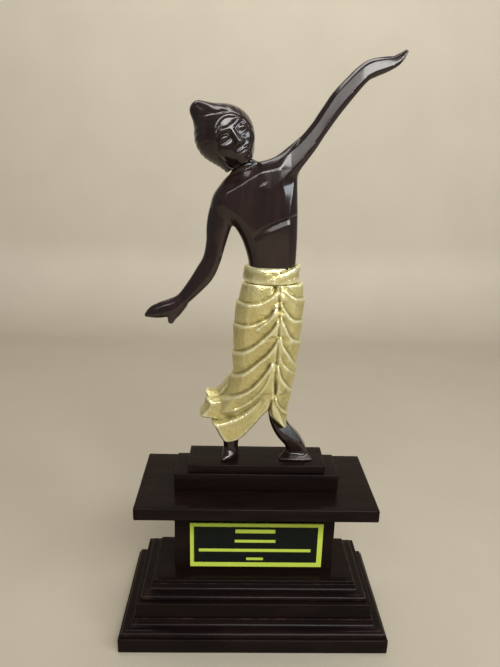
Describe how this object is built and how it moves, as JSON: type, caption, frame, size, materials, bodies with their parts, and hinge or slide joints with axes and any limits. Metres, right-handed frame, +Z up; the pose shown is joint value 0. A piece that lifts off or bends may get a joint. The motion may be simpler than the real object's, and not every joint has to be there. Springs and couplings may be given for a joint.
{
  "type": "figure trophy",
  "caption": "Carved wooden dancer with a gilded draped skirt, standing on a stepped and moulded dark wooden plinth with a flat nameplate.",
  "frame": {"origin": "centre of the base board's underside", "axes": "+Z up, -Y towards the front (nameplate side), +X towards the raised arm, all at rest on a table"},
  "size_m": [0.2, 0.1, 0.4169],
  "materials": {
    "plinth_wood": "dark brown-black lacquer, glossy, with a faint red undertone",
    "figure_wood": "near-black reddish-brown lacquer, glossy, over knife-cut wood",
    "gold_paint": "pale gold bronze paint, satin, brushed over carved folds",
    "plate_yellow": "yellow-green engraving laminate core",
    "plate_black": "black laminate face, semi-gloss",
    "foam_tape": "matt foam adhesive tape",
    "screw_steel": "zinc-plated steel",
    "dowel_wood": "plain unfinished hardwood"
  },
  "bodies": {
    "root": {"base_board": "plinth_wood", "lower_core": "plinth_wood", "upper_core": "plinth_wood", "column": "plinth_wood", "cap_board": "plinth_wood", "upper_block": "plinth_wood", "figure_plinth": "plinth_wood", "lower_moulding_front": "plinth_wood", "lower_moulding_right": "plinth_wood", "lower_moulding_back": "plinth_wood", "lower_moulding_left": "plinth_wood", "upper_moulding_front": "plinth_wood", "upper_moulding_right": "plinth_wood", "upper_moulding_back": "plinth_wood", "upper_moulding_left": "plinth_wood", "torso": "figure_wood", "head": "figure_wood", "raised_arm": "figure_wood", "lowered_arm": "figure_wood", "left_leg": "figure_wood", "right_leg": "figure_wood", "skirt": "gold_paint", "waist_sash": "gold_paint", "nameplate_border": "plate_yellow", "nameplate_panel": "plate_black", "nameplate_tape": "foam_tape", "base_screw_1": "screw_steel", "base_screw_2": "screw_steel", "column_dowel_1": "dowel_wood", "column_dowel_2": "dowel_wood", "left_foot_dowel": "dowel_wood", "right_foot_dowel": "dowel_wood", "raised_arm_dowel": "dowel_wood", "lowered_arm_dowel": "dowel_wood", "neck_dowel": "dowel_wood", "waist_dowel": "dowel_wood"}
  },
  "joints": []
}
